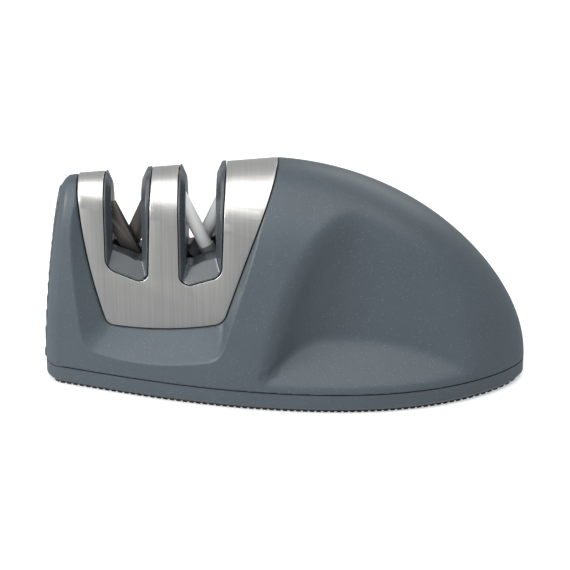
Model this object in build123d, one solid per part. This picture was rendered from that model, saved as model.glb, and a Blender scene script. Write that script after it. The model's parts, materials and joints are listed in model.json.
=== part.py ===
import math
import os

from build123d import *

os.makedirs("parts", exist_ok=True)

# Pull through knife sharpener with a coarse and a fine slot, in millimetres.
# The nose points to -X, the tail handle to +X, and the origin is under the middle of the foot.

# Overall form
length = 147.0
width = 59.0
pad_proud = 1.0           # the rubber foot stands this far below the base
parting_z = 6.2           # height of the line between base and body
crest_z = 69.3            # highest point, where the handle meets the steel
crest_x = -2.6
widest_x = 16.0
overrun = 4.0             # how far a cut runs past what it cuts
wall = 2.2                # moulded wall thickness

# Plan outline of the body
nose_half = 7.0           # half width that the flanks spring from
nose_round = 4.2          # depth of the rounding at the nose tip
tail_pinch_share = 0.2
tail_blunt = 0.03         # the tail skin stops this far before its tip

# Crest line, seen from the side
crest_fall_share = 0.072  # slope of the straight crest from the handle down to the nose
nose_corner = 5.0
tail_drop_share = 0.085
tail_tuck_share = 0.08
nose_lean_share = 0.048
nose_curve_radius = 385.0
nose_lean_reach = 30.0

# Arch over the front half, which the steel follows
arch_x = -61.0
arch_radius = 8.0         # at arch_x
arch_growth_share = 0.2
arch_draft = 0.5          # degrees
tail_fullness = 2.1
fullness_limit = 10.0

# Finger scoops in the flanks of the handle
grip_half = 18.8          # half width across the scoop floors
grip_foot_z = 19.0
grip_lean_share = 0.09
shelf_z = 8.6             # where the sloping shelf under the scoop meets the flank
shelf_slope_share = 1.0
scoop_corner_x = 5.0
scoop_corner_lean_share = 0.26
scoop_wall_share = 1.0
flank_soft = 4.0
shelf_soft = 1.4
lip_soft = 2.0
floor_soft = 6.0

# Steel cover and the opening under it
sheet = 0.8
cover_gap = 0.35
cover_top_z = 76.0        # drawn past the crest
cover_front_top_x = -61.2
cover_front_mid = (-59.5, 46.5)
cover_front_foot = (-53.4, 20.8)
cover_foot_mid = (-38.5, 20.6)
cover_rear_foot = (-18.4, 23.8)
cover_rear_mid = (-9.9, 48.5)
cover_rear_top_x = 0.4
cover_front_round = 3.0
cover_rear_round = 5.0

# Recess in the body round the steel: its outline widens to these points at recess_reach
recess_sink = 0.4         # its floor starts this far under the face of the steel
recess_reach = 12.0
recess_front_top_x = -75.3
recess_front_mid = (-77.1, 46.5)
recess_front_foot = (-79.0, -3.0)
recess_foot_mid = (-41.0, 6.0)
recess_rear_foot = (-20.0, 12.0)
recess_rear_mid = (-8.0, 48.5)
recess_rear_top_x = 2.3
recess_front_round = 10.0
recess_rear_round = 8.0

# The arch is drawn between these ends
arch_front_x = -68.0
arch_rear_x = 4.0
arch_low_z = 17.0

# The hollow inside the body
cavity_front_x = -66.0
cavity_rear_x = 69.5
cavity_lean = 4.0         # its front wall leans back this much at the crest
cavity_rows = 50

# Slots: front side, rear side and the two ends of the sloping bottom
coarse_front_x = -53.6
coarse_rear_x = -40.7
coarse_rear_top_x = -38.9
coarse_front_z = 38.5
coarse_rear_z = 34.1
fine_front_x = -31.5
fine_rear_x = -18.5
fine_rear_top_x = -16.9
fine_front_z = 33.7
fine_rear_z = 38.5
slot_high_round = 4.5     # corner at the higher end of the slot bottom
slot_low_round = 3.0      # corner at the lower end

# Guides that line the slots
guide_gap = 0.25
mouth_front = 2.2         # from the rim of the slot to the straight mouth
mouth_rear = 1.8
mouth_foot = 5.8
mouth_round = 1.5
mouth_depth = 3.2
mouth_lip = 0.5
mouth_top_round = 3.6
guide_proud = 0.2
half_gap = 0.15           # half of the joint between the front and rear guides
guide_flange = 1.2
flange_back = 3.4         # the flange stays this far inside the steel
trough_drop = 4.2         # the middle of the slot floor lies this much lower
coarse_trough_half = 2.4
fine_trough_half = 5.4

# Coarse stage: two crossed carbide plates
vee_angle = 25.0
coarse_vee = (-46.7, 48.8)
plate_above = 9.0
plate_below = 10.5
plate_width = 5.0
plate_thick = 1.8
plate_offset = 0.3        # from the middle plane to the near face of each plate
plate_bevel = 0.5
pocket_gap = 0.1
pin_diameter = 1.4
pin_length = 3.9
pin_down = 2.2            # from the upper end of the plate, along its edge
pin_in = 3.2              # from the cutting edge

# Fine stage: two crossed ceramic rods
fine_vee = (-24.3, 49.7)
rod_diameter = 4.2
rod_above = 12.0
rod_below = 6.8
rod_offset = 0.5
socket_wall = 0.4
socket_length = 5.5
socket_cover = 1.0        # length of rod that stands in the socket

# Chassis under the steel
frame_gap = 0.15
frame_wall = 2.0
frame_inset = 0.7         # the chassis stops this far inside the edge of the steel
deck_top = 32.6
deck_thick = 2.6
deck_front_x = -58.6
deck_front_half = 5.5
deck_mid_x = -15.0
deck_mid_half = 12.5
deck_rear_x = 5.5
deck_rear_half = 11.5
deck_post_top = 34.3
deck_post_diameter = 4.4
rib_thick = 2.0
rib_weld = 0.2            # the ribs run this far into the arched wall
front_rib_x = -57.6
middle_rib_x = -36.1
rear_rib_x = -13.2

# Screws and their posts
screw_diameter = 2.6
screw_head = 5.0
screw_head_height = 1.6
screw_slot = 0.7
post_diameter = 7.0
post_gap = 0.1
thread_gap = 0.05
hole_gap = 0.2            # round a screw where it passes freely
post_foot_z = 9.0
nose_post_x = -62.2
nose_post_top = 30.0
nose_web_thick = 1.6      # joins the nose post to the front wall
handle_post_x = 13.0
handle_post_y = 9.0
tail_post_x = 50.0
module_post_x = 0.8
module_post_y = 7.6
base_screw_length = 16.0
module_screw_length = 11.0
guide_screw_diameter = 2.0
guide_screw_head = 3.8
guide_screw_head_height = 1.2
guide_screw_length = 9.5
coarse_screw_x = -46.5
coarse_screw_y = 6.0
fine_screw_x = -25.5
fine_screw_y = 9.6

# Base
base_floor = 2.0
base_edge_slope = 1.0
joint_gap = 0.15          # the shadow line between base and body
spigot_height = 2.0
spigot_wall = 1.4
spigot_gap = 0.2

# Rubber foot
pad_inset = 1.6
pad_thick = 1.8
pad_pocket_gap = 0.3
rib_pitch = 2.0
rib_groove = 0.7
rib_depth = 0.4

# Resolution of the skin
skin_tolerance = 0.02
skin_rows = 64
skin_columns = 34
plan_points = 44

half_length = length / 2
half_width = width / 2
base_z = pad_proud
crest_height = crest_z - parting_z


def rounding(distance, depth):
    # Goes from 0 at the tip to 1 at the given depth, like a quarter circle.
    reach = max(0.0, min(1.0, 1 - distance / depth))
    return math.sqrt(1 - reach * reach)


def flank_half(x):
    turn = (x + half_length) / (widest_x + half_length)
    return nose_half + (half_width - nose_half) * math.sin(turn * math.pi / 2)


def plan_half(x):
    # Half width of the body at the parting line.
    if x <= widest_x:
        return flank_half(x) * rounding(x + half_length, nose_round)
    reach = min(1.0, (x - widest_x) / (half_length - widest_x))
    return half_width * math.sqrt(1 - reach ** 2) * (1 - tail_pinch_share * reach ** 3)


def crest_rise(x):
    # Height of the crest above the parting line.
    if x <= crest_x:
        straight = crest_height - crest_fall_share * (crest_x - x)
        return straight - nose_corner * (1 - rounding(x + half_length, nose_corner))
    reach = min(1.0, (x - crest_x) / (half_length - crest_x))
    return crest_height * math.sqrt(1 - reach ** 2) * (
        1 - tail_drop_share * reach - tail_tuck_share * reach ** 4)


def arch_half(x):
    # Half width of the arch that the steel follows, and the radius of its top.
    return arch_radius + arch_growth_share * (x - arch_x)


def fullness(x):
    # Exponent of the cross-section: high is square shouldered, 2 is an ellipse.
    seam = min(x, crest_x)
    rise = crest_height - crest_fall_share * (crest_x - seam)
    value = min(fullness_limit, 2 * rise * arch_half(seam) / flank_half(seam) ** 2)
    if x <= crest_x:
        return value
    reach = min(1.0, (x - crest_x) / (half_length - crest_x))
    return tail_fullness + (value - tail_fullness) * (1 - reach)


def soft_min(first, second, soft):
    blend = max(0.0, min(1.0, (1 + (second - first) / soft) / 2))
    return second + (first - second) * blend - soft * blend * (1 - blend)


def soft_max(first, second, soft):
    return -soft_min(-first, -second, soft)


def scooped_half(x, z, plain):
    # Half width after the finger scoop is taken out of the plain flank.
    floor = grip_half - grip_lean_share * (z - grip_foot_z)
    corner = scoop_corner_x + scoop_corner_lean_share * (z - grip_foot_z)
    front = grip_half + scoop_wall_share * (corner - x)
    shelf = plan_half(x) - (z - shelf_z) / shelf_slope_share
    scoop = soft_max(soft_max(floor, front, floor_soft), shelf, lip_soft)
    height = max(0.0, min(1.0, (z - shelf_z) / (grip_foot_z - shelf_z)))
    return soft_min(plain, scoop, shelf_soft + (flank_soft - shelf_soft) * height)


def skin_point(x, share, inset=0.0):
    # A point on the near skin of the body: share runs from 0 at the foot to 1 at the crest.
    lift = math.sin(share ** 1.5 * math.pi / 2)
    half = plan_half(x)
    rise = crest_rise(x)
    z = parting_z + rise * lift
    y = half * math.sqrt(max(0.0, 1 - lift ** fullness(x)))
    if inset:
        y = scooped_half(x, z, y) - inset * y / half
        return Vector(x, -y, z - inset * lift)
    if y > 0:
        y = max(0.0, scooped_half(x, z, y))
    tall = z - parting_z
    fade = max(0.0, 1 - (x + half_length) / nose_lean_reach) ** 2
    lean = nose_lean_share * tall + tall ** 2 / (2 * nose_curve_radius)
    return Vector(x + fade * lean, -y, z)


def closed_half(rows):
    # Closes a near skin with flat faces at its foot, on the middle plane and at its ends.
    skin = Face.make_surface_from_array_of_points(rows, tol=skin_tolerance)
    edges = skin.edges()
    foot = min(edges, key=lambda edge: (edge @ 0.5).Z)
    crest = max(edges, key=lambda edge: (edge @ 0.5).Z)
    ends = [edge for edge in edges if edge not in (foot, crest)]
    front = min(ends, key=lambda edge: (edge @ 0.5).X)
    rear = max(ends, key=lambda edge: (edge @ 0.5).X)
    faces = [skin]
    sides = [crest]
    bottom = [foot]
    corners = []
    for end, corner_x in ((front, rows[0][0].X), (rear, rows[-1][0].X)):
        low, high = sorted((end @ 0, end @ 1), key=lambda point: point.Z)
        inner = Vector(low.X, 0, low.Z)
        corners.append(inner)
        if low.Y == 0:
            sides.append(end)
            continue
        upright = Line(inner, high)
        sill = Line(low, inner)
        faces.append(Face(Wire([end, upright, sill])))
        sides.append(upright)
        bottom.append(sill)
    middle = Line(corners[0], corners[1])
    faces.append(Face(Wire(bottom + [middle])))
    faces.append(Face(Wire(sides + [middle])))
    return Solid(Shell(faces))


def body_half():
    last = math.pi - math.sqrt(2 * tail_blunt / half_length)
    rows = []
    for row in range(skin_rows + 1):
        x = -half_length * math.cos(last * row / skin_rows)
        rows.append([skin_point(x, column / skin_columns) for column in range(skin_columns + 1)])
    return closed_half(rows)


def at(x, z, y=0.0):
    return Vector(x, y, z)


def mirrored(shape):
    return mirror(shape, about=Plane.XZ)


def rounded(face, rounds):
    # Rounds the corners of a flat face: each entry is a corner and its radius.
    for corner, radius in rounds:
        nearest = min(face.vertices(), key=lambda vertex: (Vector(*vertex) - corner).length)
        face = face.fillet_2d(radius, [nearest])
    return face


def prism(face, reach):
    return extrude(face, amount=reach, dir=(0, 1, 0), both=True)


def box_between(low, high):
    size = [b - a for a, b in zip(low, high)]
    middle = [(a + b) / 2 for a, b in zip(low, high)]
    return Pos(*middle) * Box(*size)


def upright_rod(x, y, low, high, diameter):
    return Pos(x, y, (low + high) / 2) * Cylinder(diameter / 2, high - low)


def arch_crest(x):
    return crest_z - crest_fall_share * (crest_x - x)


def arch_section(x, inset, low_z):
    # The inverted U that the steel follows, drawn inset from its outer face.
    radius = arch_half(x) - inset
    spring_z = arch_crest(x) - arch_half(x)
    foot = radius + (spring_z - low_z) * math.tan(math.radians(arch_draft))
    near_foot, near_spring = at(x, low_z, -foot), at(x, spring_z, -radius)
    far_foot, far_spring = at(x, low_z, foot), at(x, spring_z, radius)
    return Wire([
        Line(near_foot, near_spring),
        ThreePointArc(near_spring, at(x, spring_z + radius), far_spring),
        Line(far_spring, far_foot),
        Line(far_foot, near_foot),
    ])


def arch_between(x_first, inset_first, x_last, inset_last):
    sections = [arch_section(x_first, inset_first, arch_low_z),
                arch_section(x_last, inset_last, arch_low_z)]
    return Solid.make_loft(sections, ruled=True)


def arch_solid(inset):
    return arch_between(arch_front_x, inset, arch_rear_x, inset)


def arch_face(x, z, depth):
    # A point on the flat near side of the arch, moved outward by the depth.
    spring_z = arch_crest(arch_x) - arch_half(arch_x)
    foot = (spring_z - z) * math.tan(math.radians(arch_draft))
    return at(x, z, -(arch_half(x) + foot + depth))


def cover_outline():
    front_foot, rear_foot = at(*cover_front_foot), at(*cover_rear_foot)
    front_top, rear_top = at(cover_front_top_x, cover_top_z), at(cover_rear_top_x, cover_top_z)
    face = Face(Wire([
        ThreePointArc(front_top, at(*cover_front_mid), front_foot),
        ThreePointArc(front_foot, at(*cover_foot_mid), rear_foot),
        ThreePointArc(rear_foot, at(*cover_rear_mid), rear_top),
        Line(rear_top, front_top),
    ]))
    return rounded(face, [(front_foot, cover_front_round), (rear_foot, cover_rear_round)])


def recess_wire(points, depth, rounds):
    front_top, front_mid, front_foot, foot_mid, rear_foot, rear_mid, rear_top = [
        arch_face(x, z, depth) for x, z in points]
    face = Face(Wire([
        ThreePointArc(front_top, front_mid, front_foot),
        ThreePointArc(front_foot, foot_mid, rear_foot),
        ThreePointArc(rear_foot, rear_mid, rear_top),
        Line(rear_top, front_top),
    ]))
    return rounded(face, [(front_foot, rounds[0]), (rear_foot, rounds[1])]).outer_wire()


def recess_tool(grow):
    # The cut that widens outward round the steel, or with a growth the wall behind it.
    inner = [(cover_front_top_x - grow, cover_top_z), (cover_front_mid[0] - grow, cover_front_mid[1]),
             (cover_front_foot[0] - grow, cover_front_foot[1] - grow),
             (cover_foot_mid[0], cover_foot_mid[1] - grow),
             (cover_rear_foot[0] + grow, cover_rear_foot[1] - grow),
             (cover_rear_mid[0] + grow, cover_rear_mid[1]), (cover_rear_top_x + grow, cover_top_z)]
    outer = [(recess_front_top_x - grow, cover_top_z), (recess_front_mid[0] - grow, recess_front_mid[1]),
             (recess_front_foot[0] - grow, recess_front_foot[1] - grow),
             (recess_foot_mid[0], recess_foot_mid[1] - grow),
             (recess_rear_foot[0] + grow, recess_rear_foot[1] - grow),
             (recess_rear_mid[0] + grow, recess_rear_mid[1]), (recess_rear_top_x + grow, cover_top_z)]
    inner_wire = recess_wire(inner, -recess_sink - grow, (cover_front_round, cover_rear_round))
    outer_wire = recess_wire(outer, recess_reach - grow, (recess_front_round, recess_rear_round))
    return Solid.make_loft([inner_wire, outer_wire], ruled=True)


def cavity_half():
    rows = []
    span = cavity_rear_x - cavity_front_x
    for row in range(cavity_rows + 1):
        x = cavity_front_x + span * row / cavity_rows
        rows.append([skin_point(x, column / skin_columns, wall) for column in range(skin_columns + 1)])
    hollow = closed_half(rows) - recess_tool(wall)
    low, high = at(cavity_front_x, nose_post_top), at(cavity_front_x + cavity_lean, crest_z)
    back_low, back_high = at(-half_length, nose_post_top), at(-half_length, crest_z)
    hollow -= prism(Face(Wire([Line(low, high), Line(high, back_high), Line(back_high, back_low),
                               Line(back_low, low)])), width)
    mouth = min(hollow.faces(), key=lambda face: face.center().Z)
    return hollow + extrude(mouth, amount=overrun, dir=(0, 0, -1))


def slot_face(slot, grow=0.0):
    # The outline of a slot in the steel, with its sloping bottom.
    front_x, rear_x, rear_top_x, front_z, rear_z = slot
    front_foot, rear_foot = at(front_x, front_z), at(rear_x, rear_z)
    face = Face(Wire([
        Line(at(front_x, cover_top_z), front_foot),
        Line(front_foot, rear_foot),
        Line(rear_foot, at(rear_top_x, cover_top_z)),
        Line(at(rear_top_x, cover_top_z), at(front_x, cover_top_z)),
    ]))
    front_round, rear_round = slot_high_round, slot_low_round
    if front_z < rear_z:
        front_round, rear_round = slot_low_round, slot_high_round
    face = rounded(face, [(front_foot, front_round), (rear_foot, rear_round)])
    return offset(face, amount=grow) if grow else face


def mouth_face(slot, drop=0.0):
    # The narrower opening that the knife passes, with rounded shoulders at the crest.
    front_x, rear_x, rear_top_x, front_z, rear_z = slot
    front, rear = front_x + mouth_front, rear_x - mouth_rear
    front_foot = at(front, front_z + mouth_foot - drop)
    rear_foot = at(rear, rear_z + mouth_foot - drop)
    front_turn = arch_crest(front) - mouth_top_round
    rear_turn = arch_crest(rear) - mouth_top_round
    wide_front, wide_rear = front - mouth_top_round, rear + mouth_top_round
    slant = mouth_top_round * math.sqrt(0.5)
    face = Face(Wire([
        Line(at(wide_front, cover_top_z), at(wide_front, front_turn + mouth_top_round)),
        ThreePointArc(at(wide_front, front_turn + mouth_top_round),
                      at(wide_front + slant, front_turn + slant), at(front, front_turn)),
        Line(at(front, front_turn), front_foot),
        Line(front_foot, rear_foot),
        Line(rear_foot, at(rear, rear_turn)),
        ThreePointArc(at(rear, rear_turn), at(wide_rear - slant, rear_turn + slant),
                      at(wide_rear, rear_turn + mouth_top_round)),
        Line(at(wide_rear, rear_turn + mouth_top_round), at(wide_rear, cover_top_z)),
        Line(at(wide_rear, cover_top_z), at(wide_front, cover_top_z)),
    ]))
    return rounded(face, [(front_foot, mouth_round), (rear_foot, mouth_round)])


def funnel(slot):
    # The bevelled void between the rim of a slot and its mouth, on the near side.
    front_x, rear_x, rear_top_x, front_z, rear_z = slot
    rim_front, rim_rear = front_x + guide_gap + mouth_lip, rear_x - guide_gap
    front, rear = front_x + mouth_front, rear_x - mouth_rear
    between = box_between((rim_front, -width, 0), (rim_rear, 0, cover_top_z))
    between -= arch_between(rim_front, -guide_proud, front, mouth_depth)
    between -= arch_between(rear, mouth_depth, rim_rear, -guide_proud)
    run = mouth_depth + guide_proud
    rise = mouth_foot - mouth_lip
    outer_drop = rise * (overrun + run) / run
    wires = []
    for depth, drop in ((-mouth_depth, 0), (overrun + guide_proud, outer_drop)):
        low_front = arch_face(front_x, front_z + mouth_foot - drop, depth)
        low_rear = arch_face(rear_x, rear_z + mouth_foot - drop, depth)
        high_rear = arch_face(rear_x, cover_top_z, depth)
        high_front = arch_face(front_x, cover_top_z, depth)
        wires.append(Wire([Line(low_front, low_rear), Line(low_rear, high_rear),
                           Line(high_rear, high_front), Line(high_front, low_front)]))
    ramp = Solid.make_loft(wires, ruled=True)
    above = Face(Wire([
        Line(at(front_x, front_z + mouth_foot), at(rear_x, rear_z + mouth_foot)),
        Line(at(rear_x, rear_z + mouth_foot), at(rear_x, cover_top_z)),
        Line(at(rear_x, cover_top_z), at(front_x, cover_top_z)),
        Line(at(front_x, cover_top_z), at(front_x, front_z + mouth_foot)),
    ]))
    return [between & ramp, between & prism(above, width)]


def guide_blank(slot, trough_half):
    # The near half of a slot lining, before the seats of its blades are cut.
    near = box_between((arch_front_x, -width, 0), (arch_rear_x, -half_gap, cover_top_z))
    blank = prism(slot_face(slot, -guide_gap), width) & arch_solid(-guide_proud) & near
    blank += prism(slot_face(slot, guide_flange), width) & arch_solid(flange_back) & near
    blank -= prism(mouth_face(slot), width)
    blank -= prism(mouth_face(slot, trough_drop), trough_half)
    for void in funnel(slot):
        blank -= void
    return blank


def crossing(vee, side):
    # The upper start, the downward direction and the direction into the blade, for one blade of
    # a V. The front blade (side 1) falls to the rear and the rear blade (side -1) to the front.
    turn = math.radians(vee_angle)
    down = Vector(side * math.sin(turn), 0, -math.cos(turn))
    into = Vector(-side * math.cos(turn), 0, -math.sin(turn))
    return at(*vee), down, into


def plate(side, grow=0.0):
    vee, down, into = crossing(coarse_vee, side)
    upper, lower = vee - down * (plate_above + grow), vee + down * (plate_below + grow)
    edge, back = into * -grow, into * (plate_width + grow)
    face = Face(Wire([Line(upper + edge, lower + edge), Line(lower + edge, lower + back),
                      Line(lower + back, upper + back), Line(upper + back, upper + edge)]))
    near_y = -side * (plate_offset - grow)
    away = Vector(0, -side, 0)
    face = face.moved(Location((0, near_y, 0)))
    blade = extrude(face, amount=plate_thick + 2 * grow, dir=away)
    if grow:
        return blade
    middle = (upper + lower) * 0.5 + Vector(0, near_y, 0) + away * plate_thick
    cutting = min(blade.edges(), key=lambda edge: ((edge @ 0.5) - middle).length)
    return chamfer(cutting, plate_bevel) - carbide_pin(side, thread_gap)


def cylinder_between(start, end, diameter):
    span = end - start
    return Solid.make_cylinder(diameter / 2, span.length, Plane(start, z_dir=span.normalized()))


def rod_axis(side):
    vee, down, into = crossing(fine_vee, side)
    radius = rod_diameter / 2
    return vee + into * radius + Vector(0, -side * (rod_offset + radius), 0), down


def rod(side, grow=0.0):
    middle, down = rod_axis(side)
    start, end = middle - down * (rod_above + grow), middle + down * rod_below
    return cylinder_between(start, end, rod_diameter + 2 * grow)


def socket(side, grow=0.0):
    middle, down = rod_axis(side)
    start = middle + down * (rod_below - socket_cover)
    cup = cylinder_between(start, start + down * (socket_length + grow),
                           rod_diameter + 2 * socket_wall + 2 * grow)
    return cup if grow else cup - rod(side, thread_gap)


def carbide_pin(side, grow=0.0):
    vee, down, into = crossing(coarse_vee, side)
    spot = vee - down * (plate_above - pin_down) + into * pin_in
    start, end = [spot + Vector(0, -side * depth, 0)
                  for depth in (plate_offset - grow, plate_offset + pin_length + grow)]
    return cylinder_between(start, end, pin_diameter + 2 * grow)


def screw(x, y, seat_z, diameter, length, head, head_height):
    # A screw that points up, with a slotted head under its seat.
    body = upright_rod(x, y, seat_z - head_height, seat_z, head)
    body += upright_rod(x, y, seat_z, seat_z + length, diameter)
    slot_top = seat_z - head_height / 2
    body -= box_between((x - head, y - screw_slot / 2, seat_z - head_height - overrun),
                        (x + head, y + screw_slot / 2, slot_top))
    return body


def body_shell():
    skin = body_half()
    posts = upright_rod(nose_post_x, 0, post_foot_z, nose_post_top, post_diameter)
    posts += box_between((cavity_front_x - wall, -nose_web_thick / 2, post_foot_z),
                         (nose_post_x, nose_web_thick / 2, nose_post_top))
    posts += upright_rod(handle_post_x, -handle_post_y, post_foot_z, crest_z, post_diameter)
    posts += upright_rod(tail_post_x, 0, post_foot_z, crest_z, post_diameter)
    posts += upright_rod(module_post_x, -module_post_y, deck_top + post_gap, crest_z, post_diameter)
    shell = skin - cavity_half() + (posts & skin)
    shell -= recess_tool(0)
    shell -= prism(offset(cover_outline(), amount=cover_gap), width)
    bore = screw_diameter + 2 * thread_gap
    for x, y in ((nose_post_x, 0), (handle_post_x, -handle_post_y), (tail_post_x, 0)):
        shell -= upright_rod(x, y, post_foot_z - overrun,
                             base_seat_z + base_screw_length + post_gap, bore)
    top = deck_top - deck_thick + module_screw_length + post_gap
    shell -= upright_rod(module_post_x, -module_post_y, deck_top - overrun, top, bore)
    return shell + mirrored(shell)


def steel_cover():
    cover = (arch_solid(0) - arch_solid(sheet)) & prism(cover_outline(), width)
    for slot in (coarse_slot, fine_slot):
        cover -= prism(slot_face(slot), width)
    return cover


def module_frame():
    inset = sheet + frame_gap
    frame = arch_solid(inset) - arch_solid(inset + frame_wall)
    frame &= prism(offset(cover_outline(), amount=-frame_inset), width)
    core = arch_solid(inset + frame_wall - rib_weld)
    deck_low = deck_top - deck_thick
    for x in (front_rib_x, middle_rib_x, rear_rib_x):
        frame += core & box_between((x - rib_thick / 2, -width, deck_low),
                                    (x + rib_thick / 2, width, crest_z))
    corners = [(deck_front_x, deck_front_half), (deck_mid_x, deck_mid_half), (deck_rear_x, deck_rear_half)]
    rim = [Vector(x, -y, deck_low) for x, y in corners]
    rim += [Vector(x, y, deck_low) for x, y in reversed(corners)]
    frame += extrude(Face(Wire.make_polygon(rim)), amount=deck_thick, dir=(0, 0, 1))
    for slot in (coarse_slot, fine_slot):
        frame -= prism(slot_face(slot), width)
    bore = guide_screw_diameter + 2 * hole_gap
    for x, y in guide_screw_places():
        frame += upright_rod(x, y, deck_low, deck_post_top, deck_post_diameter)
        frame -= upright_rod(x, y, deck_low - overrun, deck_post_top + overrun, bore)
    for y in (module_post_y, -module_post_y):
        frame -= upright_rod(module_post_x, y, deck_low - overrun, deck_top + overrun,
                             screw_diameter + 2 * hole_gap)
    return frame


def guide_screw_places():
    return [(x, side * y) for x, y in ((coarse_screw_x, coarse_screw_y), (fine_screw_x, fine_screw_y))
            for side in (-1, 1)]


def guide_screw(x, y):
    return screw(x, y, deck_top - deck_thick, guide_screw_diameter, guide_screw_length,
                 guide_screw_head, guide_screw_head_height)


def guide_screw_bore(x, y):
    seat = deck_top - deck_thick
    return upright_rod(x, y, seat, seat + guide_screw_length + post_gap,
                       guide_screw_diameter + 2 * thread_gap)


def coarse_guide(side):
    guide = guide_blank(coarse_slot, coarse_trough_half)
    guide = guide if side == 1 else mirrored(guide)
    guide -= plate(side, pocket_gap)
    guide -= carbide_pin(side, thread_gap)
    return guide - guide_screw_bore(coarse_screw_x, -side * coarse_screw_y)


def fine_guide(side):
    guide = guide_blank(fine_slot, fine_trough_half)
    guide = guide if side == 1 else mirrored(guide)
    guide -= rod(side, pocket_gap)
    guide -= socket(side, pocket_gap)
    return guide - guide_screw_bore(fine_screw_x, -side * fine_screw_y)


def plan_place(count, inset):
    # A point on the near plan outline, moved in square to the outline.
    turn = math.pi * count / plan_points
    x = -half_length * math.cos(turn)
    if count in (0, plan_points):
        return Vector(x - math.copysign(inset, x), 0, 0)
    step = math.pi / plan_points / 4
    before, after = turn - step, turn + step
    run = half_length * (math.cos(before) - math.cos(after))
    climb = plan_half(-half_length * math.cos(after)) - plan_half(-half_length * math.cos(before))
    scale = inset / math.hypot(run, climb)
    return Vector(x + climb * scale, -plan_half(x) + run * scale, 0)


def plan_face(inset, z):
    near = [plan_place(count, inset) for count in range(plan_points + 1)]
    far = [Vector(place.X, -place.Y, 0) for place in reversed(near[1:-1])]
    points = [place + Vector(0, 0, z) for place in near + far]
    return Face(Wire(Spline(points, periodic=True)))


def plan_slab(inset, low, high):
    return extrude(plan_face(inset, low), amount=high - low, dir=(0, 0, 1))


def base_places():
    return [(nose_post_x, 0), (handle_post_x, handle_post_y), (handle_post_x, -handle_post_y),
            (tail_post_x, 0)]


def base_plate():
    top = parting_z - joint_gap
    floor_z = base_z + base_floor
    turn_z = base_z + base_edge_slope
    edge_wires = [plan_face(base_edge_slope, base_z).outer_wire(), plan_face(0, turn_z).outer_wire()]
    slab = plan_slab(0, turn_z, top) + Solid.make_loft(edge_wires, ruled=True)
    spigot = plan_slab(wall + spigot_gap, floor_z, parting_z + spigot_height)
    spigot &= box_between((cavity_front_x + spigot_gap, -width, 0),
                          (cavity_rear_x - spigot_gap, width, crest_z))
    base = slab + spigot
    base -= plan_slab(wall + spigot_gap + spigot_wall, floor_z, crest_z)
    for x, y in base_places():
        base += upright_rod(x, y, floor_z - base_floor / 2, post_foot_z - post_gap, post_diameter)
    base -= plan_slab(pad_inset - pad_pocket_gap, 0, pad_top_z)
    for x, y in base_places():
        base -= upright_rod(x, y, 0, post_foot_z, screw_diameter + 2 * hole_gap)
        base -= upright_rod(x, y, 0, base_seat_z, screw_head + 2 * hole_gap)
    return base


def grip_pad():
    pad = plan_slab(pad_inset, 0, pad_top_z - pad_pocket_gap)
    count = int(length / rib_pitch)
    for number in range(count + 1):
        x = (number - count / 2) * rib_pitch
        pad -= box_between((x - rib_groove / 2, -width, -overrun), (x + rib_groove / 2, width, rib_depth))
    return pad


pad_top_z = pad_thick
base_seat_z = pad_top_z + screw_head_height + post_gap
coarse_slot = (coarse_front_x, coarse_rear_x, coarse_rear_top_x, coarse_front_z, coarse_rear_z)
fine_slot = (fine_front_x, fine_rear_x, fine_rear_top_x, fine_front_z, fine_rear_z)

nodes = {
    "body_shell": lambda: [body_shell()],
    "base_plate": lambda: [base_plate()],
    "grip_pad": lambda: [grip_pad()],
    "steel_cover": lambda: [steel_cover()],
    "module_frame": lambda: [module_frame()],
    "coarse_guide_front": lambda: [coarse_guide(1)],
    "coarse_guide_rear": lambda: [coarse_guide(-1)],
    "fine_guide_front": lambda: [fine_guide(1)],
    "fine_guide_rear": lambda: [fine_guide(-1)],
    "carbide_plate_front": lambda: [plate(1)],
    "carbide_plate_rear": lambda: [plate(-1)],
    "carbide_pins": lambda: [carbide_pin(1), carbide_pin(-1)],
    "ceramic_rod_front": lambda: [rod(1)],
    "ceramic_rod_rear": lambda: [rod(-1)],
    "rod_socket_front": lambda: [socket(1)],
    "rod_socket_rear": lambda: [socket(-1)],
    "coarse_guide_screws": lambda: [guide_screw(*place) for place in guide_screw_places()[:2]],
    "fine_guide_screws": lambda: [guide_screw(*place) for place in guide_screw_places()[2:]],
    "module_screws": lambda: [
        screw(module_post_x, y, deck_top - deck_thick, screw_diameter, module_screw_length,
              screw_head, screw_head_height) for y in (-module_post_y, module_post_y)],
    "base_screws": lambda: [
        screw(x, y, base_seat_z, screw_diameter, base_screw_length, screw_head, screw_head_height)
        for x, y in base_places()],
}

for name, make in nodes.items():
    solids = make()
    shape = solids[0] if len(solids) == 1 else Compound(children=solids)
    export_step(shape, f"parts/{name}.step")
    print(name, len(solids))
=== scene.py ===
import json
import math

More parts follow.
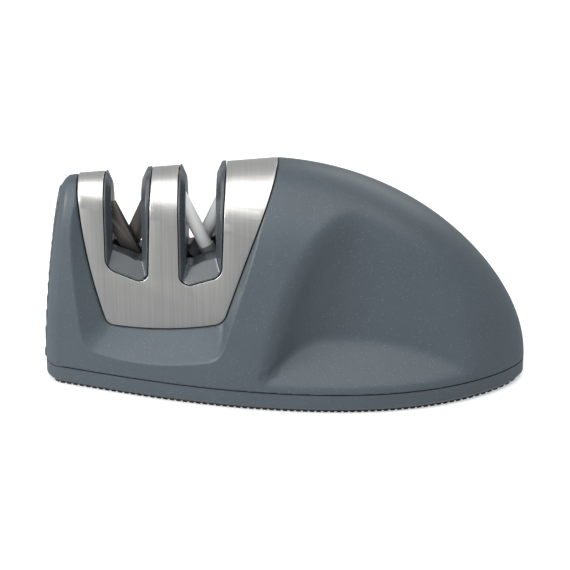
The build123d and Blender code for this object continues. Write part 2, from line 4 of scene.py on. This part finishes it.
import bmesh
import bpy
import numpy as np
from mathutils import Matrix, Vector


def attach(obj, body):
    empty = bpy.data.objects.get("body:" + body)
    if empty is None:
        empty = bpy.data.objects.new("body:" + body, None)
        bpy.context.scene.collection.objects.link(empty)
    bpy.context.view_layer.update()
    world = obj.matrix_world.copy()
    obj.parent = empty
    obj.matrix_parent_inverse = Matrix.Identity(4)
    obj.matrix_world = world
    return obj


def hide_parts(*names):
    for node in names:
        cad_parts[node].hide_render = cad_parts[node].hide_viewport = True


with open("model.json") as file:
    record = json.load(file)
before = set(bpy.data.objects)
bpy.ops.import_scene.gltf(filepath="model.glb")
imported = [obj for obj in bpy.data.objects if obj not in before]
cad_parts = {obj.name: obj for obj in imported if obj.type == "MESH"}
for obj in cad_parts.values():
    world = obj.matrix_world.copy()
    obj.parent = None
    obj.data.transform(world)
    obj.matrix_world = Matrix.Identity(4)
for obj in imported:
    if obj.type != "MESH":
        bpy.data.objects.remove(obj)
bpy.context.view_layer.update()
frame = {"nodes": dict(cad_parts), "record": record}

nodes = frame["nodes"]
scene = bpy.context.scene
print("frame loaded")


# Materials

def newMaterial(name, settings):
    material = bpy.data.materials.new(name)
    material.use_nodes = True
    shader = material.node_tree.nodes["Principled BSDF"]
    for socket, value in settings.items():
        shader.inputs[socket].default_value = value
    return material, material.node_tree, shader


def addNode(tree, kind, inputs=None, **settings):
    node = tree.nodes.new(kind)
    for key, value in settings.items():
        setattr(node, key, value)
    for socket, value in (inputs or {}).items():
        if isinstance(value, bpy.types.NodeSocket):
            tree.links.new(value, node.inputs[socket])
        else:
            node.inputs[socket].default_value = value
    return node


def objectCoords(tree, stretch=(1, 1, 1)):
    coords = addNode(tree, "ShaderNodeTexCoord")
    mapping = addNode(tree, "ShaderNodeMapping", {"Vector": coords.outputs["Object"], "Scale": stretch})
    return mapping.outputs["Vector"]


def noise(tree, coords, scale, detail=2.0):
    texture = addNode(tree, "ShaderNodeTexNoise", {"Vector": coords, "Scale": scale, "Detail": detail})
    return texture.outputs["Fac"]


def ramp(tree, value, low, high, start=0.0, end=1.0):
    node = addNode(tree, "ShaderNodeMapRange", {"Value": value, "From Min": start, "From Max": end,
                                                "To Min": low, "To Max": high})
    return node.outputs["Result"]


def mixColours(tree, value, first, second):
    node = addNode(tree, "ShaderNodeMix", data_type="RGBA")
    tree.links.new(value, node.inputs["Factor"])
    colourInputs = [s for s in node.inputs if s.type == "RGBA"]
    for socket, colour in zip(colourInputs, (first, second)):
        if isinstance(colour, bpy.types.NodeSocket):
            tree.links.new(colour, socket)
        else:
            socket.default_value = (*colour, 1)
    return [s for s in node.outputs if s.type == "RGBA"][0]


def addBump(tree, shader, height, strength, distance):
    node = addNode(tree, "ShaderNodeBump", {"Height": height, "Strength": strength, "Distance": distance})
    tree.links.new(node.outputs["Normal"], shader.inputs["Normal"])


plasticGrain = {
    "cloudScale": 60.0,
    "fleckCore": 0.1,
    "fleckRim": 0.45,
    "detail": 3.0,
    "roughnessSpread": 0.06,
    "strength": 0.35,
}
mouldedPlastic = {
    "colour": (0.047, 0.062, 0.072),
    "paler": (0.056, 0.073, 0.083),
    "fleck": (0.15, 0.175, 0.19),
    "fleckSize": 0.00036,
    "fleckShare": 0.16,
    "grainSize": 0.00026,
    "grainDepth": 0.00004,
    "roughness": 0.42,
    "shine": 0.42,
}
guidePlastic = {
    "colour": (0.040, 0.048, 0.054),
    "paler": (0.047, 0.055, 0.061),
    "fleck": (0.10, 0.11, 0.12),
    "fleckSize": 0.00036,
    "fleckShare": 0.05,
    "grainSize": 0.00026,
    "grainDepth": 0.000015,
    "roughness": 0.26,
    "shine": 0.55,
}


def makeMouldedPlastic(name, settings):
    # Slightly cloudy plastic with small flecks and a fine grain.
    material, tree, shader = newMaterial(name, {"Specular IOR Level": settings["shine"]})
    coords = objectCoords(tree)
    cloudy = noise(tree, coords, plasticGrain["cloudScale"])
    colour = mixColours(tree, cloudy, settings["colour"], settings["paler"])
    cells = addNode(tree, "ShaderNodeTexVoronoi",
                    {"Vector": coords, "Scale": 1 / settings["fleckSize"], "Randomness": 1.0})
    picked = addNode(tree, "ShaderNodeSeparateColor", {"Color": cells.outputs["Color"]})
    chosen = ramp(tree, picked.outputs["Red"], 0.0, 1.0, 1 - settings["fleckShare"], 1.0)
    near = ramp(tree, cells.outputs["Distance"], 1.0, 0.0, plasticGrain["fleckCore"], plasticGrain["fleckRim"])
    fleck = addNode(tree, "ShaderNodeMath", {0: chosen, 1: near}, operation="MULTIPLY")
    flecked = mixColours(tree, fleck.outputs[0], colour, settings["fleck"])
    tree.links.new(flecked, shader.inputs["Base Color"])
    grain = noise(tree, coords, 1 / settings["grainSize"], plasticGrain["detail"])
    spread = plasticGrain["roughnessSpread"]
    rough = ramp(tree, grain, settings["roughness"] - spread, settings["roughness"] + spread)
    tree.links.new(rough, shader.inputs["Roughness"])
    addBump(tree, shader, grain, plasticGrain["strength"], settings["grainDepth"])
    return material


brushedSheet = {
    "dark": (0.54, 0.53, 0.505),
    "light": (0.66, 0.65, 0.622),
    "lineWidth": 0.00009,
    "lineStretch": 0.006,
    "broadShare": 0.22,
    "fineDetail": 2.0,
    "broadDetail": 3.0,
    "colourSpan": (0.65, 1.35),
    "roughness": (0.27, 0.35),
    "roughnessSpan": (0.6, 1.4),
    "anisotropy": 0.55,
    "strength": 0.2,
    "depth": 0.000012,
}


def makeBrushedSteel(settings=brushedSheet):
    # Fine and broad lines that run up and over the sheet.
    material, tree, shader = newMaterial("brushedSteel",
                                         {"Metallic": 1.0, "Anisotropic": settings["anisotropy"]})
    along = settings["lineStretch"]
    coords = objectCoords(tree, (1, along, along))
    fine = noise(tree, coords, 1 / settings["lineWidth"], settings["fineDetail"])
    broad = noise(tree, coords, settings["broadShare"] / settings["lineWidth"], settings["broadDetail"])
    lines = addNode(tree, "ShaderNodeMath", {0: fine, 1: broad}, operation="ADD").outputs[0]
    shade = ramp(tree, lines, 0.0, 1.0, *settings["colourSpan"])
    tree.links.new(mixColours(tree, shade, settings["dark"], settings["light"]), shader.inputs["Base Color"])
    rough = ramp(tree, lines, *settings["roughness"], *settings["roughnessSpan"])
    tree.links.new(rough, shader.inputs["Roughness"])
    tangent = addNode(tree, "ShaderNodeTangent", direction_type="RADIAL", axis="X")
    tree.links.new(tangent.outputs["Tangent"], shader.inputs["Tangent"])
    addBump(tree, shader, lines, settings["strength"], settings["depth"])
    return material


plainGrain = {"detail": 4.0, "strength": 0.4}
grained = {
    "grip_rubber": {
        "name": "footRubber",
        "shader": {"Specular IOR Level": 0.3},
        "darker": (0.010, 0.010, 0.011),
        "lighter": (0.020, 0.020, 0.021),
        "grain": 0.0004,
        "depth": 0.00003,
        "roughness": (0.75, 0.92),
    },
    "inner_plastic": {
        "name": "innerPlastic",
        "shader": {},
        "darker": (0.016, 0.017, 0.018),
        "lighter": (0.026, 0.027, 0.028),
        "grain": 0.0006,
        "depth": 0.00002,
        "roughness": (0.5, 0.65),
    },
    "carbide": {
        "name": "groundCarbide",
        "shader": {"Metallic": 1.0},
        "darker": (0.17, 0.15, 0.135),
        "lighter": (0.27, 0.245, 0.225),
        "grain": 0.0002,
        "depth": 0.00001,
        "roughness": (0.38, 0.52),
    },
    "ceramic": {
        "name": "whiteCeramic",
        "shader": {"Subsurface Weight": 0.15, "Subsurface Scale": 0.002},
        "darker": (0.80, 0.81, 0.80),
        "lighter": (0.87, 0.88, 0.87),
        "grain": 0.0003,
        "depth": 0.000008,
        "roughness": (0.38, 0.5),
    },
    "socket_plastic": {
        "name": "socketPlastic",
        "shader": {},
        "darker": (0.17, 0.18, 0.185),
        "lighter": (0.22, 0.23, 0.235),
        "grain": 0.0005,
        "depth": 0.00002,
        "roughness": (0.4, 0.5),
    },
    "pin_steel": {
        "name": "pinSteel",
        "shader": {"Metallic": 1.0},
        "darker": (0.42, 0.42, 0.42),
        "lighter": (0.5, 0.5, 0.5),
        "grain": 0.0003,
        "depth": 0.00001,
        "roughness": (0.3, 0.4),
    },
    "screw_steel": {
        "name": "zincScrews",
        "shader": {"Metallic": 1.0},
        "darker": (0.48, 0.48, 0.50),
        "lighter": (0.60, 0.60, 0.61),
        "grain": 0.0004,
        "depth": 0.00001,
        "roughness": (0.28, 0.4),
    },
}


def makeGrained(settings):
    # A plain finish with some variation in its colour, its roughness and its surface.
    material, tree, shader = newMaterial(settings["name"], settings["shader"])
    mottled = noise(tree, objectCoords(tree), 1 / settings["grain"], plainGrain["detail"])
    colour = mixColours(tree, mottled, settings["darker"], settings["lighter"])
    tree.links.new(colour, shader.inputs["Base Color"])
    tree.links.new(ramp(tree, mottled, *settings["roughness"]), shader.inputs["Roughness"])
    addBump(tree, shader, mottled, plainGrain["strength"], settings["depth"])
    return material


finishes = {
    "body": makeMouldedPlastic("bodyPlastic", mouldedPlastic),
    "guide_plastic": makeMouldedPlastic("guidePlastic", guidePlastic),
    "brushed_steel": makeBrushedSteel(),
}
for slot, settings in grained.items():
    finishes[slot] = makeGrained(settings)
slotOf = {part["node"]: part["material_slot"] for part in frame["record"]["subparts"]}
for name, node in nodes.items():
    node.data.materials.clear()
    node.data.materials.append(finishes[slotOf[name]])
print("materials made")


# Pieces

def startFrom(node, name, mergeDistance=0.000002):
    # A copy of a CAD node's mesh with its doubles merged.
    mesh = bmesh.new()
    mesh.from_mesh(nodes[node].data)
    bmesh.ops.remove_doubles(mesh, verts=mesh.verts[:], dist=mergeDistance)
    data = bpy.data.meshes.new(name)
    mesh.to_mesh(data)
    mesh.free()
    piece = bpy.data.objects.new(name, data)
    scene.collection.objects.link(piece)
    return piece


def applyModifiers(piece):
    bpy.context.view_layer.update()
    evaluated = piece.evaluated_get(bpy.context.evaluated_depsgraph_get())
    data = bpy.data.meshes.new_from_object(evaluated)
    piece.modifiers.clear()
    old = piece.data
    piece.data = data
    bpy.data.meshes.remove(old)


def finishPiece(piece, node, smoothAngle):
    data = piece.data
    data.shade_smooth()
    data.set_sharp_from_angle(angle=math.radians(smoothAngle))
    data.materials.clear()
    data.materials.append(finishes[slotOf[node]])
    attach(piece, "root")
    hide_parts(node)
    print(piece.name, len(data.polygons), "faces")
    return piece


shading = {"mouldedAngle": 180, "bevelledAngle": 40, "relaxFactor": 0.5, "flatAngle": 1, "bevelSegments": 2}


def makeMoulded(node, name, voxel, smoothSteps, keepShare):
    # Moulded pieces have no sharp edge, so the mesh is rebuilt in small voxels and relaxed.
    piece = startFrom(node, name)
    remesh = piece.modifiers.new("remesh", "REMESH")
    remesh.mode = "VOXEL"
    remesh.voxel_size = voxel
    relax = piece.modifiers.new("relax", "SMOOTH")
    relax.factor = shading["relaxFactor"]
    relax.iterations = smoothSteps
    thin = piece.modifiers.new("thin", "DECIMATE")
    thin.ratio = keepShare
    applyModifiers(piece)
    if node == "body_shell":
        fairSkin(piece)
    return finishPiece(piece, node, shading["mouldedAngle"])


def makeBevelled(node, name, width, edgeAngle=35):
    # Cut and ground edges keep their shape, with a narrow bevel that catches the light.
    piece = startFrom(node, name)
    mesh = bmesh.new()
    mesh.from_mesh(piece.data)
    bmesh.ops.dissolve_limit(mesh, angle_limit=math.radians(shading["flatAngle"]),
                             verts=mesh.verts[:], edges=mesh.edges[:])
    mesh.to_mesh(piece.data)
    mesh.free()
    bevel = piece.modifiers.new("bevel", "BEVEL")
    bevel.width = width
    bevel.segments = shading["bevelSegments"]
    bevel.limit_method = "ANGLE"
    bevel.angle_limit = math.radians(edgeAngle)
    bevel.harden_normals = False
    applyModifiers(piece)
    return finishPiece(piece, node, shading["bevelledAngle"])


hull = {
    "half": 0.0735,
    "halfWidth": 0.0295,
    "foot": 0.0062,
    "crest": 0.0693,
    "crestPlace": -0.0026,
    "widestPlace": 0.016,
    "noseHalf": 0.007,
    "noseRound": 0.0042,
    "tailPinch": 0.2,
    "crestFall": 0.072,
    "noseCorner": 0.005,
    "tailDrop": 0.085,
    "tailTuck": 0.08,
    "noseLean": 0.048,
    "noseCurve": 0.385,
    "leanReach": 0.030,
    "leanSteps": 24,
    "leastRise": 0.0001,
    "archPlace": -0.061,
    "archRadius": 0.008,
    "archGrowth": 0.2,
    "tailFullness": 2.1,
    "fullnessLimit": 10.0,
}
scoop = {
    "half": 0.0188,
    "foot": 0.019,
    "lean": 0.09,
    "shelf": 0.0086,
    "cornerPlace": 0.005,
    "cornerLean": 0.26,
    "wallShare": 1.0,
    "flankSoft": 0.004,
    "shelfSoft": 0.0014,
    "lipSoft": 0.002,
    "floorSoft": 0.006,
    "plainShare": 0.35,
}


def rounding(distance, depth):
    return np.sqrt(1 - np.clip(1 - distance / depth, 0, 1) ** 2)


def flankHalf(x):
    turn = np.clip((x + hull["half"]) / (hull["widestPlace"] + hull["half"]), 0, 1)
    return hull["noseHalf"] + (hull["halfWidth"] - hull["noseHalf"]) * np.sin(turn * math.pi / 2)


def planHalf(x):
    reach = np.clip((x - hull["widestPlace"]) / (hull["half"] - hull["widestPlace"]), 0, 1)
    tail = hull["halfWidth"] * np.sqrt(1 - reach ** 2) * (1 - hull["tailPinch"] * reach ** 3)
    nose = flankHalf(x) * rounding(x + hull["half"], hull["noseRound"])
    return np.where(x <= hull["widestPlace"], nose, tail)


def crestRise(x):
    height = hull["crest"] - hull["foot"]
    corner = hull["noseCorner"] * (1 - rounding(x + hull["half"], hull["noseCorner"]))
    front = height - hull["crestFall"] * (hull["crestPlace"] - x) - corner
    reach = np.clip((x - hull["crestPlace"]) / (hull["half"] - hull["crestPlace"]), 0, 1)
    tuck = hull["tailDrop"] * reach + hull["tailTuck"] * reach ** 4
    tail = height * np.sqrt(1 - reach ** 2) * (1 - tuck)
    return np.where(x <= hull["crestPlace"], front, tail)


def fullness(x):
    seam = np.minimum(x, hull["crestPlace"])
    rise = hull["crest"] - hull["foot"] - hull["crestFall"] * (hull["crestPlace"] - seam)
    arch = hull["archRadius"] + hull["archGrowth"] * (seam - hull["archPlace"])
    value = np.minimum(hull["fullnessLimit"], 2 * rise * arch / flankHalf(seam) ** 2)
    reach = np.clip((x - hull["crestPlace"]) / (hull["half"] - hull["crestPlace"]), 0, 1)
    return hull["tailFullness"] + (value - hull["tailFullness"]) * (1 - reach)


def softMin(first, second, soft):
    blend = np.clip((1 + (second - first) / soft) / 2, 0, 1)
    return second + (first - second) * blend - soft * blend * (1 - blend)


def softMax(first, second, soft):
    return -softMin(-first, -second, soft)


def skinValue(x, y, z):
    # Below 0 inside the outer skin of the body and above 0 outside it.
    tall = z - hull["foot"]
    lean = hull["noseLean"] * tall + tall ** 2 / (2 * hull["noseCurve"])
    place = x
    for step in range(hull["leanSteps"]):
        place = x - np.clip(1 - (place + hull["half"]) / hull["leanReach"], 0, 1) ** 2 * lean
    half = planHalf(place)
    lift = np.maximum(tall, 0) / np.maximum(crestRise(place), hull["leastRise"])
    plainSquare = half ** 2 * (1 - lift ** fullness(place))
    plain = np.sqrt(np.maximum(plainSquare, 0))
    floor = scoop["half"] - scoop["lean"] * (z - scoop["foot"])
    corner = scoop["cornerPlace"] + scoop["cornerLean"] * (z - scoop["foot"])
    front = scoop["half"] + scoop["wallShare"] * (corner - place)
    shelf = half - (z - scoop["shelf"])
    hollow = softMax(softMax(floor, front, scoop["floorSoft"]), shelf, scoop["lipSoft"])
    height = np.clip((z - scoop["shelf"]) / (scoop["foot"] - scoop["shelf"]), 0, 1)
    soft = scoop["shelfSoft"] + (scoop["flankSoft"] - scoop["shelfSoft"]) * height
    scooped = softMin(plain, hollow, soft)
    square = np.where(plain < scoop["plainShare"] * half, plainSquare, scooped * np.abs(scooped))
    return y ** 2 - square


def fairSkin(piece, nearest=0.00012, farthest=0.00024, step=0.00001, noseEnd=-0.0675, noseShare=4):
    # Moves the vertices on the outer skin onto its smooth form, which the CAD mesh has in flat facets.
    data = piece.data
    places = np.zeros(len(data.vertices) * 3)
    data.vertices.foreach_get("co", places)
    places = places.reshape(-1, 3)
    slope = np.zeros_like(places)
    for axis in range(3):
        ahead, behind = places.copy(), places.copy()
        ahead[:, axis] += step
        behind[:, axis] -= step
        slope[:, axis] = (skinValue(*ahead.T) - skinValue(*behind.T)) / (2 * step)
    steep = np.sqrt((slope ** 2).sum(axis=1))
    steep[steep == 0] = 1
    away = skinValue(*places.T) / steep
    reach = np.where(places[:, 0] < noseEnd, noseShare, 1)
    share = np.clip((farthest * reach - np.abs(away)) / ((farthest - nearest) * reach), 0, 1)
    places -= (share * away / steep)[:, None] * slope
    data.vertices.foreach_set("co", places.ravel())
    data.update()
    print("faired", int((share > 0).sum()), "of", len(share), "vertices")


moulded = {
    "body_shell": ("bodyShell", 0.00045, 8, 0.42),
    "coarse_guide_front": ("coarseGuideFront", 0.00022, 5, 0.5),
    "coarse_guide_rear": ("coarseGuideRear", 0.00022, 5, 0.5),
    "fine_guide_front": ("fineGuideFront", 0.00024, 5, 0.5),
    "fine_guide_rear": ("fineGuideRear", 0.00024, 5, 0.5),
}
for node, (name, voxel, smoothSteps, keepShare) in moulded.items():
    makeMoulded(node, name, voxel, smoothSteps, keepShare)

bevelled = {
    "steel_cover": ("steelCover", 0.00012),
    "carbide_plate_front": ("carbidePlateFront", 0.00008),
    "carbide_plate_rear": ("carbidePlateRear", 0.00008),
    "ceramic_rod_front": ("ceramicRodFront", 0.0004),
    "ceramic_rod_rear": ("ceramicRodRear", 0.0004),
}
for node, (name, width) in bevelled.items():
    makeBevelled(node, name, width)
print("pieces made")


# Floor, lights and camera

studio = {
    "floorSize": 6.0,
    "floorColour": (0.80, 0.80, 0.80),
    "floorGlow": 0.32,
    "floorRoughness": 0.7,
    "floorShine": 0.2,
    "worldColour": (0.80, 0.82, 0.85),
    "worldStrength": 0.60,
}
floorMaterial = newMaterial("paleFloor", {
    "Base Color": (*studio["floorColour"], 1),
    "Roughness": studio["floorRoughness"],
    "Specular IOR Level": studio["floorShine"],
    "Emission Color": (1, 1, 1, 1),
    "Emission Strength": studio["floorGlow"],
})[0]
mesh = bmesh.new()
bmesh.ops.create_grid(mesh, x_segments=1, y_segments=1, size=studio["floorSize"] / 2)
floorData = bpy.data.meshes.new("studioFloor")
mesh.to_mesh(floorData)
mesh.free()
floorData.materials.append(floorMaterial)
studioFloor = bpy.data.objects.new("studioFloor", floorData)
scene.collection.objects.link(studioFloor)
studioFloor.visible_glossy = False

world = bpy.data.worlds.new("studioWorld")
world.use_nodes = True
background = world.node_tree.nodes["Background"]
background.inputs["Color"].default_value = (*studio["worldColour"], 1)
background.inputs["Strength"].default_value = studio["worldStrength"]
scene.world = world

softboxes = {
    "topSoftbox": {
        "place": (0, -0.45, 1.15),
        "aim": (0, 0, 0.04),
        "size": (2.4, 1.5),
        "power": 21.0,
    },
    "noseSoftbox": {
        "place": (-1.2, -0.5, 0.45),
        "aim": (0, 0, 0.03),
        "size": (0.6, 0.6),
        "power": 15.0,
    },
    "rearSoftbox": {
        "place": (0.7, 1.2, 0.9),
        "aim": (0, 0, 0.04),
        "size": (1.0, 0.6),
        "power": 4.0,
    },
}
for name, box in softboxes.items():
    data = bpy.data.lights.new(name, "AREA")
    data.shape = "RECTANGLE"
    data.size, data.size_y = box["size"]
    data.energy = box["power"]
    light = bpy.data.objects.new(name, data)
    light.location = box["place"]
    facing = Vector(box["aim"]) - Vector(box["place"])
    light.rotation_euler = facing.to_track_quat("-Z", "Y").to_euler()
    scene.collection.objects.link(light)

view = {"elevation": 22.5, "distance": 0.6, "aimHeight": 0.02934, "lens": 124.7, "sensor": 36}
elevation = math.radians(view["elevation"])
aim = Vector((0, 0, view["aimHeight"]))
cameraData = bpy.data.cameras.new("camera")
cameraData.sensor_width = view["sensor"]
cameraData.lens = view["lens"]
camera = bpy.data.objects.new("camera", cameraData)
camera.location = aim + view["distance"] * Vector((0, -math.cos(elevation), math.sin(elevation)))
camera.rotation_euler = (aim - camera.location).to_track_quat("-Z", "Y").to_euler()
scene.collection.objects.link(camera)
scene.camera = camera
scene.view_settings.view_transform = "Standard"
print("studio ready")
